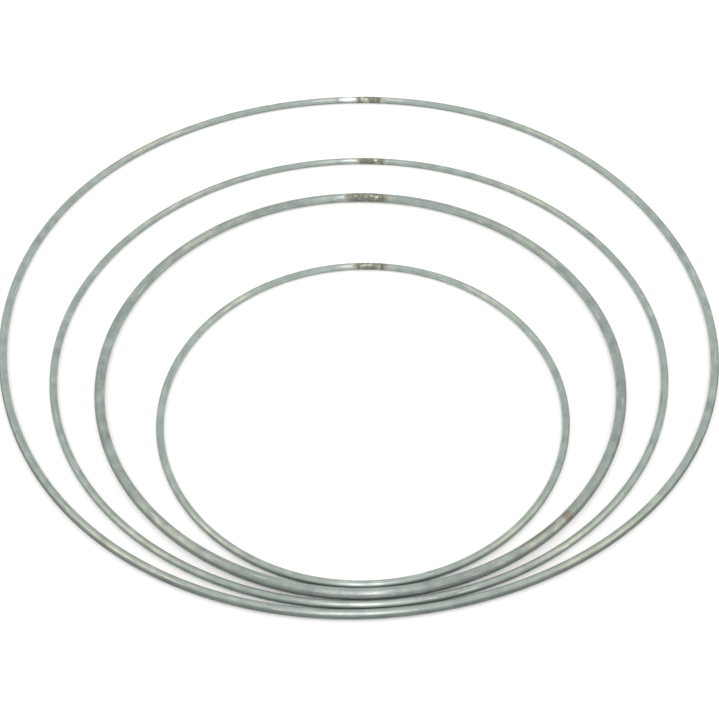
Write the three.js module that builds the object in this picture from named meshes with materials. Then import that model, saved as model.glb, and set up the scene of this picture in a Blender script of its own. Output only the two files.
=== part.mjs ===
// A graded set of wreath rings: plain hoops of round galvanised steel wire that a florist binds
// moss, straw or foliage onto. The rings are loose. They lie flat on a table, one inside another,
// pushed together at the front so that they touch there and fan out towards the back.
//
// Each hoop is one length of wire, rolled round and closed end to end by a butt weld at the back.
// The weld is a short swollen length of its own, dressed flat underneath.
//
// Frame: millimetres, +Z up, the table is z = 0, the outer ring is centred on the Z axis,
// the rings touch at -Y and their welds are at +Y.

import * as THREE from 'three';

// Driving dimensions, in millimetres and degrees.
// outside   outside diameter of the hoop
// wire      diameter of its wire
// aside     how far the hoop lies to the right of the outer ring's middle
// lobes     how far out of round it is: [number of lobes, rise, direction of one lobe]
// weldAt    where its weld is, counted from +X
// weldLong  length of the weld
// swell     how much thicker the weld is than the wire, on the radius
const RINGS = [
  {
    name: 'outer_ring', outside: 300, wire: 3.1, aside: 0,
    lobes: [[2, 0.55, 122], [4, 0.85, 59]],
    weldAt: 87.5, weldLong: 10, swell: 0.12,
    wireColour: '#a7b2a9', weldColour: '#86817a',
  },
  {
    name: 'second_ring', outside: 245, wire: 2.8, aside: 1.1,
    lobes: [[2, 1.75, 6]],
    weldAt: 87, weldLong: 10, swell: 0.12,
    wireColour: '#aab5ac', weldColour: '#8a8479',
  },
  {
    name: 'third_ring', outside: 209.5, wire: 3.8, aside: 1.5,
    lobes: [],
    weldAt: 88, weldLong: 14, swell: 0.3,
    wireColour: '#a0aca5', weldColour: '#7d7a72',
  },
  {
    name: 'inner_ring', outside: 157.5, wire: 2.8, aside: 2.6,
    lobes: [[2, 0.5, 39]],
    weldAt: 87.5, weldLong: 10, swell: 0.12,
    wireColour: '#abb5ac', weldColour: '#8b8274',
  },
];

const RING_GAP = 0.25;        // left between two rings where they meet at the front
const WELD_GAP = 0.3;         // left between a wire's end and the weld that closes it
const SECTION_SIDES = 12;     // sides of the wire's section, with one side flat on the table
const CHORD_ERROR = 0.07;     // how far a straight facet may lie inside the hoop's curve
const WELD_STEPS = 8;         // facets along a weld
const CONTACT_SAMPLES = 720;  // points round a hoop when it is pushed against the next one
const CONTACT_PASSES = 20;

const FULL_TURN = 2 * Math.PI;

// The radius of a hoop's centreline in one direction, seen from its own middle.
function centrelineRadius(ring, angle) {
  let radius = (ring.outside - ring.wire) / 2;
  for (const [count, rise, direction] of ring.lobes) {
    radius += rise * Math.cos(count * (angle - THREE.MathUtils.degToRad(direction)));
  }
  return radius;
}

// A point on a hoop's centreline, which runs half a wire above the table.
function centrelinePoint(ring, angle, target = new THREE.Vector3()) {
  const radius = centrelineRadius(ring, angle);
  return target.set(radius * Math.cos(angle), radius * Math.sin(angle), ring.wire / 2);
}

// The centreline of a stretch of one hoop.
class HoopArc extends THREE.Curve {
  constructor(ring, from, to) {
    super();
    this.ring = ring;
    this.from = from;
    this.to = to;
  }

  getPoint(t, target = new THREE.Vector3()) {
    const angle = THREE.MathUtils.lerp(this.from, this.to, t);
    return centrelinePoint(this.ring, angle, target);
  }
}

// The section of a wire: a regular polygon drawn round the circle, so that it stands on a flat
// side and measures the full wire diameter from flat to flat.
function wireSection(diameter) {
  const corner = diameter / 2 / Math.cos(Math.PI / SECTION_SIDES);
  const points = [];
  for (let side = 0; side < SECTION_SIDES; side++) {
    const angle = (side + 0.5) * FULL_TURN / SECTION_SIDES;
    points.push(new THREE.Vector2(corner * Math.cos(angle), corner * Math.sin(angle)));
  }
  return new THREE.Shape(points);
}

function sweepSection(ring, from, to, steps) {
  return new THREE.ExtrudeGeometry(wireSection(ring.wire), {
    steps,
    extrudePath: new HoopArc(ring, from, to),
  });
}

// The wire runs all the way round from one side of the weld to the other.
function wireGeometry(ring) {
  const radius = (ring.outside - ring.wire) / 2;
  const middle = THREE.MathUtils.degToRad(ring.weldAt);
  const half = (ring.weldLong / 2 + WELD_GAP) / radius;
  const stepAngle = 2 * Math.acos(1 - CHORD_ERROR / radius);
  const steps = Math.ceil(FULL_TURN / stepAngle);
  return sweepSection(ring, middle + half, middle + FULL_TURN - half, steps);
}

// The weld is the same section, swollen towards its middle and dressed level with the table.
function weldGeometry(ring) {
  const radius = (ring.outside - ring.wire) / 2;
  const middle = THREE.MathUtils.degToRad(ring.weldAt);
  const half = ring.weldLong / 2 / radius;
  const geometry = sweepSection(ring, middle - half, middle + half, WELD_STEPS);
  const position = geometry.getAttribute('position');
  const point = new THREE.Vector3();
  const centre = new THREE.Vector3();
  for (let i = 0; i < position.count; i++) {
    point.fromBufferAttribute(position, i);
    const angle = Math.atan2(point.y, point.x);
    const along = THREE.MathUtils.clamp((angle - middle) / half, -1, 1);
    const growth = 1 + ring.swell * (1 - along * along) / (ring.wire / 2);
    centrelinePoint(ring, angle, centre);
    point.sub(centre).multiplyScalar(growth).add(centre);
    position.setXYZ(i, point.x, point.y, Math.max(point.z, 0));
  }
  geometry.computeVertexNormals();
  return geometry;
}

// How far back the middle of a ring lies once the ring is pushed forward inside the next larger
// one, until only RING_GAP is left between the two wires at their closest.
function middleWhenPushed(ring, outer, outerMiddle) {
  const wanted = (ring.wire + outer.wire) / 2 + RING_GAP;
  const point = new THREE.Vector3();
  let y = outerMiddle.y - (outer.outside - ring.outside) / 2;
  for (let pass = 0; pass < CONTACT_PASSES; pass++) {
    let least = Infinity;
    for (let i = 0; i < CONTACT_SAMPLES; i++) {
      centrelinePoint(ring, i * FULL_TURN / CONTACT_SAMPLES, point);
      const x = point.x + ring.aside - outerMiddle.x;
      const forward = point.y + y - outerMiddle.y;
      const room = centrelineRadius(outer, Math.atan2(forward, x)) - Math.hypot(x, forward);
      least = Math.min(least, room);
    }
    y -= least - wanted;
  }
  return new THREE.Vector2(ring.aside, y);
}

function steel(colour, roughness) {
  return new THREE.MeshStandardMaterial({ color: colour, metalness: 0.9, roughness });
}

const wreathRings = new THREE.Group();
let outer = null;
let middle = new THREE.Vector2(0, 0);
for (const ring of RINGS) {
  if (outer) middle = middleWhenPushed(ring, outer, middle);
  const hoop = new THREE.Group();
  hoop.position.set(middle.x, middle.y, 0);

  const wire = new THREE.Mesh(wireGeometry(ring), steel(ring.wireColour, 0.4));
  wire.name = `${ring.name}_wire`;
  hoop.add(wire);

  const weld = new THREE.Mesh(weldGeometry(ring), steel(ring.weldColour, 0.6));
  weld.name = `${ring.name}_weld`;
  hoop.add(weld);

  wreathRings.add(hoop);
  outer = ring;
}

export default wreathRings;
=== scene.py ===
import math

import bmesh
import bpy
from mathutils import Matrix, Vector, noise


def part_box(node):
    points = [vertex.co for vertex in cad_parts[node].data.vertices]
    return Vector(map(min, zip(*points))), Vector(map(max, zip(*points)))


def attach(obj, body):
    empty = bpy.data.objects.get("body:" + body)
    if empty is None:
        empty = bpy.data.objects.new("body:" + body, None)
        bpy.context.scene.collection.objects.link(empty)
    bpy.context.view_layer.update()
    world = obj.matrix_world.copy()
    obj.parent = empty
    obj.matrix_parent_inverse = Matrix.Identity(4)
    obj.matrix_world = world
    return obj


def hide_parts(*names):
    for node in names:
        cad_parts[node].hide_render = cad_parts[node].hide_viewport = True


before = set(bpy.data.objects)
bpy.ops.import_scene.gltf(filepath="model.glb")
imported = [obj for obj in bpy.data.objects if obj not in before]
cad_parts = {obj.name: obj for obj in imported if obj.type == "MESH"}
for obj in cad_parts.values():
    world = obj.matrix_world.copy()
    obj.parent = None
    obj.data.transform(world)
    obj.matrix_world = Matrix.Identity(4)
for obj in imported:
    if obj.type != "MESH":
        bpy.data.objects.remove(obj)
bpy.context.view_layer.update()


# ---------------------------------------------------------------------------------------------
# Camera. It stands in front of the set at the height of someone looking down at a table, close
# enough for the rings to spread strongly towards the front.

MM = 0.001

LENS_MM = 45.6
SENSOR_MM = 36.0
LOOKS_DOWN_DEG = 48.354
LEANS_DEG = -0.151
CAMERA_PLACE_MM = (1.19, -281.5, 274.6)

camera = bpy.data.objects.new("camera", bpy.data.cameras.new("camera"))
camera.data.lens = LENS_MM
camera.data.sensor_width = SENSOR_MM
camera.data.clip_start = 0.01
camera.data.clip_end = 20.0
tilt = Matrix.Rotation(math.radians(90 - LOOKS_DOWN_DEG), 4, "X")
lean = Matrix.Rotation(math.radians(LEANS_DEG), 4, "Z")
camera.matrix_world = Matrix.Translation(Vector(CAMERA_PLACE_MM) * MM) @ tilt @ lean
bpy.context.collection.objects.link(camera)
bpy.context.scene.camera = camera


# ---------------------------------------------------------------------------------------------
# Outer ring, wire. A length of 3.1 mm drawn steel wire with a bright zinc coat, rolled through
# three rollers to a hoop 300 mm across. Its ends are squared off for the weld at the back.

ROUND_MM = 0.01          # this much tighter than the design, whose hoops are of straight pieces
BESIDE = 0.001           # radians to each side of a point, for the hoop's direction there


class Hoop:
    """One hoop's sizes in millimetres, with its middle found from its CAD wire.

    Each lobe is how many times the hoop swells in a turn, by how much and towards what angle.
    """

    def __init__(self, name, outside, wire, lobes, weld_at, weld_long):
        self.name = name
        self.wire_radius = wire / 2
        self.radius = (outside - wire) / 2 - ROUND_MM
        self.lobes = lobes
        self.weld_at = math.radians(weld_at)
        self.weld_half = weld_long / 2
        low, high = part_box(name + "_wire")
        front = min(self.reach(math.radians(a))[1] for a in range(180, 361))
        self.x = (low[0] + high[0]) / 2 / MM
        self.y = low[1] / MM + self.wire_radius + ROUND_MM - front

    def reach(self, angle):
        """A point of the centreline, counted from the hoop's own middle."""
        out = self.radius
        for count, rise, direction in self.lobes:
            out += rise * math.cos(count * (angle - math.radians(direction)))
        return out * math.cos(angle), out * math.sin(angle)

    def place(self, along):
        """The centreline's point and its outward direction, this far along from the weld."""
        angle = self.weld_at + along / self.radius
        x, y = self.reach(angle)
        ahead, behind = self.reach(angle + BESIDE), self.reach(angle - BESIDE)
        outward = Vector((ahead[1] - behind[1], behind[0] - ahead[0], 0)).normalized()
        return Vector((self.x + x, self.y + y, self.wire_radius)), outward

    def whole_turn(self):
        return 2 * math.pi * self.radius


SECTION_POINTS = 32      # round a wire
STEP_ALONG_MM = 1.3      # between two sections of a wire


def sweep(hoop, name, stations, thickness):
    """A closed round bar along a hoop. thickness(along, turn) gives its radius in millimetres.

    Every point keeps its place on the straight wire, before it was bent, as the attribute
    straight_mm: along the wire, outwards and up. from_weld_mm is how far the weld's middle is,
    and ground_off_mm how much metal the grinder took there.
    """
    mesh = bpy.data.meshes.new(name)
    work = bmesh.new()
    straight = work.verts.layers.float_vector.new("straight_mm")
    from_weld = work.verts.layers.float.new("from_weld_mm")
    ground_off = work.verts.layers.float.new("ground_off_mm")
    sections = []
    for along in stations:
        centre, outward = hoop.place(along)
        section = []
        for i in range(SECTION_POINTS):
            turn = 2 * math.pi * i / SECTION_POINTS
            size = thickness(along, turn)
            side, up = size * math.cos(turn), size * math.sin(turn)
            point = centre + outward * side + Vector((0, 0, up))
            point.z = max(point.z, 0)
            vertex = work.verts.new(point * MM)
            vertex[straight] = Vector((along, side, up))
            vertex[from_weld] = min(abs(along), hoop.whole_turn() - abs(along))
            vertex[ground_off] = max(hoop.wire_radius - size, 0)
            section.append(vertex)
        sections.append(section)
    for here, there in zip(sections, sections[1:]):
        for i in range(SECTION_POINTS):
            j = (i + 1) % SECTION_POINTS
            work.faces.new((here[i], there[i], there[j], here[j]))
    work.faces.new(sections[0])
    work.faces.new(reversed(sections[-1]))
    bmesh.ops.recalc_face_normals(work, faces=work.faces)
    for face in work.faces:
        face.smooth = len(face.verts) == 4
    work.to_mesh(mesh)
    work.free()
    piece = bpy.data.objects.new(name, mesh)
    bpy.context.collection.objects.link(piece)
    return piece


INTO_WELD_MM = 0.2       # a wire's end is buried this deep in its weld, as the two are one metal
DRESSED_AT_MM = 11.5     # the grinder ran off the weld to one side and flattened the wire here
DRESSED_HALF_MM = 5
DRESSED_FACES = math.radians(136)      # round the wire from outwards: up and inwards
LEAST_FACING = 0.1       # keeps the flat's far side, where there is none, from running to infinity


def wire_thickness(hoop, dressed_mm):
    """The wire is round, but for the flat where the grinder ran off the weld."""

    def thickness(along, turn):
        run = max(0.0, 1 - ((along - DRESSED_AT_MM) / DRESSED_HALF_MM) ** 4)
        facing = math.cos(turn - DRESSED_FACES)
        flat = (hoop.wire_radius - dressed_mm * run) / max(facing, LEAST_FACING)
        return min(hoop.wire_radius, flat)

    return thickness


def bend_wire(hoop, dressed_mm):
    first = hoop.weld_half - INTO_WELD_MM
    length = hoop.whole_turn() - 2 * first
    count = round(length / STEP_ALONG_MM)
    stations = [first + length * i / count for i in range(count + 1)]
    return sweep(hoop, hoop.name + "_wire_drawn", stations, wire_thickness(hoop, dressed_mm))


def linear(hex_colour):
    """An sRGB hex colour as linear red, green, blue and alpha."""
    shares = [int(hex_colour[i:i + 2], 16) / 255 for i in (1, 3, 5)]
    return [s / 12.92 if s <= 0.04045 else ((s + 0.055) / 1.055) ** 2.4 for s in shares] + [1]


def add(tree, kind, inputs=None, stops=None, **settings):
    """Adds a node. An input takes a value or another node's output, stops fill a colour ramp."""
    made = tree.nodes.new(kind)
    for name, value in settings.items():
        setattr(made, name, value)
    for key, value in (inputs or {}).items():
        if isinstance(value, bpy.types.NodeSocket):
            tree.links.new(value, made.inputs[key])
        else:
            made.inputs[key].default_value = value
    if stops:
        ramp = made.color_ramp.elements
        while len(ramp) < len(stops):
            ramp.new(1)
        for stop, (place, colour) in zip(ramp, stops):
            stop.position = place
            stop.color = linear(colour)
    return made


def new_material(name):
    """An empty material with a metal shader on its output."""
    material = bpy.data.materials.new(name)
    material.use_nodes = True
    tree = material.node_tree
    tree.nodes.clear()
    shader = add(tree, "ShaderNodeBsdfPrincipled", {"Metallic": 1.0})
    add(tree, "ShaderNodeOutputMaterial", {"Surface": shader.outputs[0]})
    return material, tree, shader


# Hot zinc wiped onto drawn steel is a pale grey with a green-blue cast. Dull grey clouds a few
# millimetres wide lie in it, with streaks along the wire from the drawing die, pinholes and
# scuffs. The streaks blur a reflection across the wire and leave it sharp along the wire.
ZINC_BRIGHT = "#aab6b0"
ZINC_DULL = "#909e98"
ZINC_PIT = "#747c75"
ZINC_SCUFF = "#cbd1cb"
CLOUD_MM = 7
ZINC_ROUGHNESS = (0.46, 0.32)      # of the dull clouds, of the bright coat
ACROSS_GLOSS = 0.8
QUARTER_TURN = 0.25      # turns the blur from along the wire to across it
DIE_LINE_MM = 0.5        # the real lines are about 0.05 mm apart, too fine to show
DIE_LINE_LONG_MM = 45
DIE_LINE_SHARE = 0.35
PIT_MM = 0.9
SCUFF_MM = 0.45
SCUFF_LONG_MM = 9

# Where a noise pattern begins to count and where it counts fully.
CLOUD_FROM, CLOUD_FULLY = 0.3, 0.7
PIT_FROM, PIT_FULLY = 0.7, 0.8
SCUFF_FROM, SCUFF_FULLY = 0.64, 0.74
COAT_RELIEF = 0.00002    # metres
COAT_BUMP = 0.6

# The heat of the weld burns the zinc off and tints the steel: brown next to the weld, then
# straw, then a chalky line of zinc oxide before the sound coat.
TINT_STOPS = ["#84897f", "#95998d", "#a3a9a0", "#b5bebb"]
TINT_ROUGHNESS = 0.62
TINT_WANDERS = 0.9       # of the tint's own reach
SOUND_FROM = 0.75        # of the tint's reach: the coat is sound again beyond this
BLOTCH_MM = 2.4
BLOTCH_SHARE = 0.8

# The flat beside the weld is bare bright metal.
FLAT_BRIGHT = "#dcdfdc"
FLAT_ROUGHNESS = 0.3
FLAT_STARTS_MM = 0.01    # this much metal off just marks the zinc
FLAT_BARE_MM = 0.1       # this much leaves bare metal

# The hoop's outer side is painted darker. This is painted shade, standing for the dark flank a
# bright wire shows where it mirrors a grey bench.
# Most of it is on the largest hoop.
OUTER_SHADE_FROM = 0.4        # how far outwards the side faces, as a share of the wire's radius
OUTER_SHADE_FULLY = 0.8

# Here and there a drop has stood on the wire and left a grey-brown stain.
ZINC_STAIN = "#837e74"
STAIN_STRENGTH = 0.85
STAIN_EDGE = (1.2, 1.6)  # from full strength to none, in reaches, with the ragged edge's half


def galvanised_drawn_wire(name, hoop, tint_reach_mm, shade_share, bright=ZINC_BRIGHT,
                          dull=ZINC_DULL, roughness=ZINC_ROUGHNESS, stains=()):
    """The coat on one hoop's wire, with what the weld's heat and drops have done to it, and
    painted shade on its outer side.
    """
    material, tree, shader = new_material(name)
    shader.inputs["Anisotropic"].default_value = ACROSS_GLOSS
    shader.inputs["Anisotropic Rotation"].default_value = QUARTER_TURN
    straight = add(tree, "ShaderNodeAttribute", attribute_name="straight_mm").outputs["Vector"]
    away = add(tree, "ShaderNodeAttribute", attribute_name="from_weld_mm").outputs["Fac"]

    clouds = add(tree, "ShaderNodeTexNoise",
                 {"Vector": straight, "Scale": 1 / CLOUD_MM, "Detail": 5, "Roughness": 0.62})
    stretched = add(tree, "ShaderNodeMapping",
                    {"Vector": straight,
                     "Scale": (1 / DIE_LINE_LONG_MM, 1 / DIE_LINE_MM, 1 / DIE_LINE_MM)})
    die_lines = add(tree, "ShaderNodeTexNoise",
                    {"Vector": stretched.outputs[0], "Scale": 1.0, "Detail": 2})
    pit_noise = add(tree, "ShaderNodeTexNoise",
                    {"Vector": straight, "Scale": 1 / PIT_MM, "Detail": 2})
    pits = add(tree, "ShaderNodeMapRange",
               {"Value": pit_noise.outputs[0], "From Min": PIT_FROM, "From Max": PIT_FULLY})
    scuff_place = add(tree, "ShaderNodeMapping",
                      {"Vector": straight,
                       "Scale": (1 / SCUFF_LONG_MM, 1 / SCUFF_MM, 1 / SCUFF_MM)})
    scuff_noise = add(tree, "ShaderNodeTexNoise",
                      {"Vector": scuff_place.outputs[0], "Scale": 1.0, "Detail": 1})
    scuffs = add(tree, "ShaderNodeMapRange",
                 {"Value": scuff_noise.outputs[0], "From Min": SCUFF_FROM,
                  "From Max": SCUFF_FULLY})

    cloud_share = add(tree, "ShaderNodeMapRange",
                      {"Value": clouds.outputs[0], "From Min": CLOUD_FROM,
                       "From Max": CLOUD_FULLY})
    zinc = add(tree, "ShaderNodeMix",
               {0: cloud_share.outputs[0], 6: linear(dull), 7: linear(bright)},
               data_type="RGBA")
    lined = add(tree, "ShaderNodeMix",
                {0: DIE_LINE_SHARE, 6: zinc.outputs[2], 7: die_lines.outputs[0]},
                data_type="RGBA", blend_type="SOFT_LIGHT")
    scuffed = add(tree, "ShaderNodeMix",
                  {0: scuffs.outputs[0], 6: lined.outputs[2], 7: linear(ZINC_SCUFF)},
                  data_type="RGBA")
    pitted = add(tree, "ShaderNodeMix",
                 {0: pits.outputs[0], 6: scuffed.outputs[2], 7: linear(ZINC_PIT)},
                 data_type="RGBA")

    # The edge of the tint wanders, so the clouds push the distance about before it is used.
    wander = add(tree, "ShaderNodeMath",
                 {0: clouds.outputs[0], 1: tint_reach_mm * TINT_WANDERS,
                  2: -tint_reach_mm * TINT_WANDERS / 2},
                 operation="MULTIPLY_ADD")
    heated = add(tree, "ShaderNodeMath", {0: away, 1: wander.outputs[0]}, operation="ADD")
    burnt = add(tree, "ShaderNodeMapRange",
                {"Value": heated.outputs[0], "From Min": hoop.weld_half,
                 "From Max": hoop.weld_half + tint_reach_mm})
    even_tint = add(tree, "ShaderNodeValToRGB", {0: burnt.outputs[0]},
                    stops=[(i / 3, colour) for i, colour in enumerate(TINT_STOPS)])
    blotches = add(tree, "ShaderNodeTexNoise",
                   {"Vector": straight, "Scale": 1 / BLOTCH_MM, "Detail": 3})
    tint = add(tree, "ShaderNodeMix",
               {0: BLOTCH_SHARE, 6: even_tint.outputs[0], 7: blotches.outputs[0]},
               data_type="RGBA", blend_type="OVERLAY")
    cleared = add(tree, "ShaderNodeMapRange",
                  {"Value": burnt.outputs[0], "From Min": SOUND_FROM, "From Max": 1.0})
    coat = add(tree, "ShaderNodeMix",
               {0: cleared.outputs[0], 6: tint.outputs[2], 7: pitted.outputs[2]},
               data_type="RGBA")
    ground_off = add(tree, "ShaderNodeAttribute", attribute_name="ground_off_mm").outputs["Fac"]
    on_flat = add(tree, "ShaderNodeMapRange",
                  {"Value": ground_off, "From Min": FLAT_STARTS_MM,
                   "From Max": FLAT_BARE_MM})
    stained = add(tree, "ShaderNodeMix",
                  {0: on_flat.outputs[0], 6: coat.outputs[2], 7: linear(FLAT_BRIGHT)},
                  data_type="RGBA").outputs[2]
    for place, reach in stains:
        local = add(tree, "ShaderNodeVectorMath", {0: straight, 1: place}, operation="SUBTRACT")
        shrunk = add(tree, "ShaderNodeVectorMath",
                     {0: local.outputs[0], 1: [1 / r for r in reach]}, operation="MULTIPLY")
        how_far = add(tree, "ShaderNodeVectorMath", {0: shrunk.outputs[0]}, operation="LENGTH")
        ragged = add(tree, "ShaderNodeMath",
                     {0: pit_noise.outputs[0], 1: how_far.outputs["Value"]}, operation="ADD")
        stain = add(tree, "ShaderNodeMapRange",
                    {"Value": ragged.outputs[0], "From Min": STAIN_EDGE[0],
                     "From Max": STAIN_EDGE[1],
                     "To Min": STAIN_STRENGTH, "To Max": 0.0})
        stained = add(tree, "ShaderNodeMix",
                      {0: stain.outputs[0], 6: stained, 7: linear(ZINC_STAIN)},
                      data_type="RGBA").outputs[2]

    # Painted shade: the base colour is darkened towards the wire's outer side, standing for the
    # dark flank it shows over a grey bench.
    side = add(tree, "ShaderNodeSeparateXYZ", {0: straight}).outputs["Y"]
    painted_outer_shade = add(tree, "ShaderNodeMapRange",
                     {"Value": side, "From Min": hoop.wire_radius * OUTER_SHADE_FROM,
                      "From Max": hoop.wire_radius * OUTER_SHADE_FULLY,
                      "To Min": 1.0, "To Max": 1 - shade_share})
    shaded_colour = add(tree, "ShaderNodeVectorMath",
               {0: stained, "Scale": painted_outer_shade.outputs[0]}, operation="SCALE")
    tree.links.new(shaded_colour.outputs[0], shader.inputs["Base Color"])

    gloss = add(tree, "ShaderNodeMapRange",
                {"Value": clouds.outputs[0], "From Min": CLOUD_FROM, "From Max": CLOUD_FULLY,
                 "To Min": roughness[0], "To Max": roughness[1]})
    dulled = add(tree, "ShaderNodeMix",
                 {0: cleared.outputs[0], 2: TINT_ROUGHNESS, 3: gloss.outputs[0]})
    polished = add(tree, "ShaderNodeMix",
                   {0: on_flat.outputs[0], 2: dulled.outputs[0], 3: FLAT_ROUGHNESS})
    tree.links.new(polished.outputs[0], shader.inputs["Roughness"])

    relief = add(tree, "ShaderNodeMath", {0: die_lines.outputs[0], 1: pits.outputs[0]},
                 operation="SUBTRACT")
    bump = add(tree, "ShaderNodeBump",
               {"Height": relief.outputs[0], "Strength": COAT_BUMP, "Distance": COAT_RELIEF})
    tree.links.new(bump.outputs[0], shader.inputs["Normal"])
    return material


# The outer hoop carries the most painted shade on its outer side.
outer = Hoop("outer_ring", 300, 3.1, [(2, 0.55, 122), (4, 0.85, 59)], 87.5, 10)
outer_wire = bend_wire(outer, dressed_mm=0.3)
outer_wire.data.materials.append(
    galvanised_drawn_wire("galvanised_drawn_wire_outer", outer, tint_reach_mm=3, shade_share=0.55))
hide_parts("outer_ring_wire")
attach(outer_wire, "outer_ring")


# ---------------------------------------------------------------------------------------------
# Outer ring, weld. The squared ends were pressed together and fused by current. The metal
# squeezed out into two low lips with a seam between, then the lump was ground nearly level.

LIP_AT = 0.2             # these three are shares of the weld's half length
LIP_WIDE = 0.13
SEAM_WIDE = 0.06
BETWEEN_LIPS = 0.3       # how much of the swelling is left away from the lips
SEAM_DEEP = 0.5          # of the swelling
LUMP_MM = 2.2
WELD_STATIONS = 64


def weld_thickness(hoop, swell, seed):
    """The weld stays inside a smooth swelling. Lumps and the seam are cut into that."""

    def thickness(along, turn):
        u = along / (hoop.weld_half + INTO_WELD_MM)
        full = swell * max(0.0, 1 - u * u)
        lip = math.exp(-((abs(u) - LIP_AT) / LIP_WIDE) ** 2)
        seam = math.exp(-(u / SEAM_WIDE) ** 2)
        spot = Vector((along, hoop.wire_radius * math.cos(turn),
                       hoop.wire_radius * math.sin(turn))) / LUMP_MM
        lump = 0.5 + 0.5 * noise.noise(spot + Vector((seed, 0, 0)))
        proud = full * (BETWEEN_LIPS + (1 - BETWEEN_LIPS) * lip) * lump
        return hoop.wire_radius + proud - SEAM_DEEP * swell * seam

    return thickness


def fuse_weld(hoop, swell, seed):
    half = hoop.weld_half
    stations = [half * (2 * i / WELD_STATIONS - 1) for i in range(WELD_STATIONS + 1)]
    return sweep(hoop, hoop.name + "_weld_ground", stations, weld_thickness(hoop, swell, seed))


# Ground weld metal is bare steel with brown and straw oxide left in the hollows, and fine
# grinding marks across the wire.
STEEL_GROUND = "#afb6ac"
STEEL_OXIDE_BROWN = "#747a6f"
STEEL_OXIDE_STRAW = "#989d8c"
STEEL_OXIDE_BLUE = "#848b86"
OXIDE_PATCH_MM = 2.6
SEED_APART_MM = 9.7      # each weld takes its patches from another place of the pattern
WELD_ROUGHNESS = (0.66, 0.34)      # of the oxide, of the ground metal
OXIDE_TO, GROUND_FROM = 0.4, 0.68  # where the patch pattern leaves the one and reaches the other
GRIND_LINE_MM = 0.4      # the real marks are 0.1 mm apart, too fine to show
GRIND_ROUND_MM = 10 / 3  # how far a mark runs round the weld
GRIND_SHARE = 0.5
GRIND_RELIEF = 0.00003   # metres
GRIND_BUMP = 0.7
END_FADE_MM = 1.6        # the weld's ends take on the brown of the wire beside them


def ground_weld(name, hoop, seed):
    """Ground weld metal for one hoop."""
    material, tree, shader = new_material(name)
    straight = add(tree, "ShaderNodeAttribute", attribute_name="straight_mm").outputs["Vector"]
    moved = add(tree, "ShaderNodeMapping",
                {"Vector": straight, "Location": (seed * SEED_APART_MM, 0, 0)})
    patches = add(tree, "ShaderNodeTexNoise",
                  {"Vector": moved.outputs[0], "Scale": 1 / OXIDE_PATCH_MM, "Detail": 4,
                   "Roughness": 0.6})
    oxide = add(tree, "ShaderNodeValToRGB", {0: patches.outputs[0]},
                stops=[(0.34, STEEL_OXIDE_BLUE), (0.45, STEEL_OXIDE_BROWN),
                       (0.54, STEEL_OXIDE_STRAW), (0.64, STEEL_GROUND)])
    across = add(tree, "ShaderNodeMapping",
                 {"Vector": moved.outputs[0],
                  "Scale": (1 / GRIND_LINE_MM, 1 / GRIND_ROUND_MM, 1 / GRIND_ROUND_MM)})
    marks = add(tree, "ShaderNodeTexNoise",
                {"Vector": across.outputs[0], "Scale": 1.0, "Detail": 2})
    marked = add(tree, "ShaderNodeMix",
                 {0: GRIND_SHARE, 6: oxide.outputs[0], 7: marks.outputs[0]},
                 data_type="RGBA", blend_type="SOFT_LIGHT")
    away = add(tree, "ShaderNodeAttribute", attribute_name="from_weld_mm").outputs["Fac"]
    at_end = add(tree, "ShaderNodeMapRange",
                 {"Value": away, "From Min": hoop.weld_half - END_FADE_MM,
                  "From Max": hoop.weld_half})
    faded = add(tree, "ShaderNodeMix",
                {0: at_end.outputs[0], 6: marked.outputs[2], 7: linear(TINT_STOPS[0])},
                data_type="RGBA")
    tree.links.new(faded.outputs[2], shader.inputs["Base Color"])
    gloss = add(tree, "ShaderNodeMapRange",
                {"Value": patches.outputs[0], "From Min": OXIDE_TO, "From Max": GROUND_FROM,
                 "To Min": WELD_ROUGHNESS[0], "To Max": WELD_ROUGHNESS[1]})
    tree.links.new(gloss.outputs[0], shader.inputs["Roughness"])
    bump = add(tree, "ShaderNodeBump",
               {"Height": marks.outputs[0], "Strength": GRIND_BUMP, "Distance": GRIND_RELIEF})
    tree.links.new(bump.outputs[0], shader.inputs["Normal"])
    return material


outer_weld = fuse_weld(outer, swell=0.12, seed=14)
outer_weld.data.materials.append(ground_weld("ground_butt_weld_outer", outer, seed=14))
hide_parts("outer_ring_weld")
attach(outer_weld, "outer_ring")


# ---------------------------------------------------------------------------------------------
# Second ring. The same zinc-coated wire a gauge thinner, rolled to a hoop 245 mm across that
# has sprung a little wider than it is deep. It is closed by the same ground weld.

second = Hoop("second_ring", 245, 2.8, [(2, 1.75, 6)], 87, 10)
second_wire = bend_wire(second, dressed_mm=0.035)
second_wire.data.materials.append(
    galvanised_drawn_wire("galvanised_drawn_wire_second", second, tint_reach_mm=3, shade_share=0.1))
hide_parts("second_ring_wire")
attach(second_wire, "second_ring")

second_weld = fuse_weld(second, swell=0.12, seed=22)
second_weld.data.materials.append(ground_weld("ground_butt_weld_second", second, seed=22))
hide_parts("second_ring_weld")
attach(second_weld, "second_ring")


# ---------------------------------------------------------------------------------------------
# Third ring. Stiffer wire, 3.8 mm thick, rolled to a hoop 209.5 mm across. The thicker ends
# needed more heat, so its weld is longer and lumpier and the tint runs further. The zinc on it
# is duller.

third = Hoop("third_ring", 209.5, 3.8, [], 88, 14)
third_wire = bend_wire(third, dressed_mm=0.03)

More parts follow.
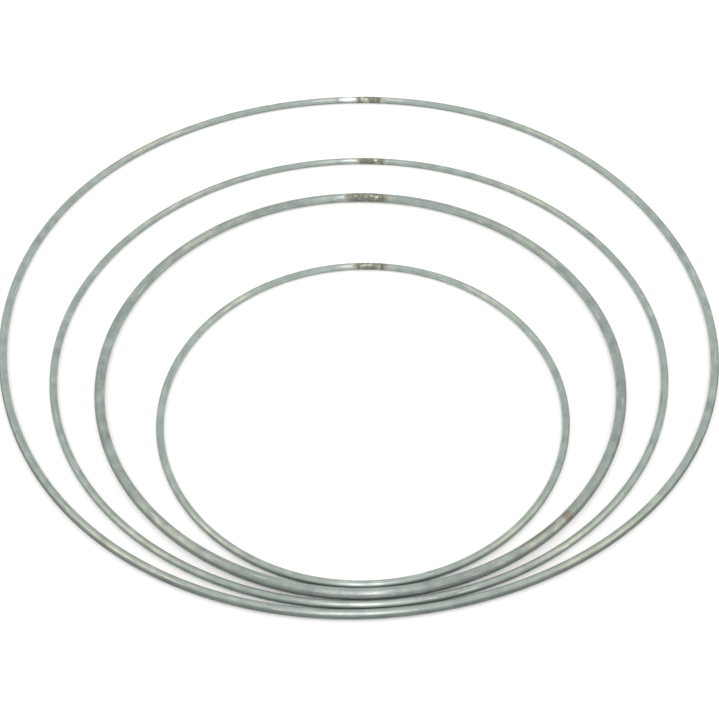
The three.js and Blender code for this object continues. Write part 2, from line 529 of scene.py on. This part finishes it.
# Two stains, each as its place on the straight wire and its reach, in millimetres. The first is
# a drop's own size, the second is its run along the upper inner side.
THIRD_STAINS = [((405.3, 0.3, 1.8), (2.4, 1.9, 1.9)), ((391, -0.9, 1.7), (12, 0.5, 0.5))]
third_wire.data.materials.append(
    galvanised_drawn_wire("galvanised_drawn_wire_third", third, tint_reach_mm=6, shade_share=0.25,
                          bright="#a5b1ab", dull="#8a9792", roughness=(0.53, 0.38),
                          stains=THIRD_STAINS))
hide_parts("third_ring_wire")
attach(third_wire, "third_ring")

third_weld = fuse_weld(third, swell=0.3, seed=35)
third_weld.data.materials.append(ground_weld("ground_butt_weld_third", third, seed=35))
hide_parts("third_ring_weld")
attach(third_weld, "third_ring")


# ---------------------------------------------------------------------------------------------
# Inner ring. The thinner wire again, rolled to a hoop 157.5 mm across, with its ground weld.

inner = Hoop("inner_ring", 157.5, 2.8, [(2, 0.5, 39)], 87.5, 10)
inner_wire = bend_wire(inner, dressed_mm=0.02)
inner_wire.data.materials.append(
    galvanised_drawn_wire("galvanised_drawn_wire_inner", inner, tint_reach_mm=4, shade_share=0.1))
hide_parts("inner_ring_wire")
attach(inner_wire, "inner_ring")

inner_weld = fuse_weld(inner, swell=0.12, seed=45)
inner_weld.data.materials.append(ground_weld("ground_butt_weld_inner", inner, seed=45))
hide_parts("inner_ring_weld")
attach(inner_weld, "inner_ring")


# ---------------------------------------------------------------------------------------------
# Table and light. The rings lie on a plain pale table under an even studio sky. A small lamp
# over the front puts a short gleam there on each ring, and a wide warm softbox on each side
# draws a line of light along the front quarters.

TABLE_HALF_M = 4.0
TABLE_WHITE = "#f1f7fa"
SKY_WHITE = "#fffefc"
SKY_STRENGTH = 1.08

table_mesh = bpy.data.meshes.new("table")
corners = [(x * TABLE_HALF_M, y * TABLE_HALF_M, 0)
           for x, y in ((-1, -1), (1, -1), (1, 1), (-1, 1))]
table_mesh.from_pydata(corners, [], [(0, 1, 2, 3)])
table = bpy.data.objects.new("table", table_mesh)
bpy.context.collection.objects.link(table)
table_top, table_tree, table_shader = new_material("matt_white_laminate_table")
table_shader.inputs["Metallic"].default_value = 0.0
table_shader.inputs["Roughness"].default_value = 0.8
table_shader.inputs["Base Color"].default_value = linear(TABLE_WHITE)
table_mesh.materials.append(table_top)


def hang_lamp(name, place_mm, wide_mm, watts, colour):
    """A round soft lamp over the table, turned to the middle of the rings."""
    lamp = bpy.data.objects.new(name, bpy.data.lights.new(name, "AREA"))
    lamp.data.shape = "DISK"
    lamp.data.size = wide_mm * MM
    lamp.data.energy = watts
    lamp.data.color = linear(colour)[:3]
    lamp.location = Vector(place_mm) * MM
    lamp.rotation_euler = lamp.location.to_track_quat("Z", "Y").to_euler()
    bpy.context.collection.objects.link(lamp)


hang_lamp("front_lamp", (8, -404, 789), wide_mm=60, watts=1.4, colour="#ffe9ef")
hang_lamp("left_softbox", (-760, -40, 1090), wide_mm=420, watts=1.8, colour="#ffdcb6")
hang_lamp("right_softbox", (780, -40, 1090), wide_mm=420, watts=1.8, colour="#ffdcb6")

sky = bpy.data.worlds.new("studio_sky")
sky.use_nodes = True
sky.node_tree.nodes.clear()
glow = add(sky.node_tree, "ShaderNodeBackground",
           {"Color": linear(SKY_WHITE), "Strength": SKY_STRENGTH})
add(sky.node_tree, "ShaderNodeOutputWorld", {"Surface": glow.outputs[0]})
bpy.context.scene.world = sky
bpy.context.scene.view_settings.view_transform = "Standard"
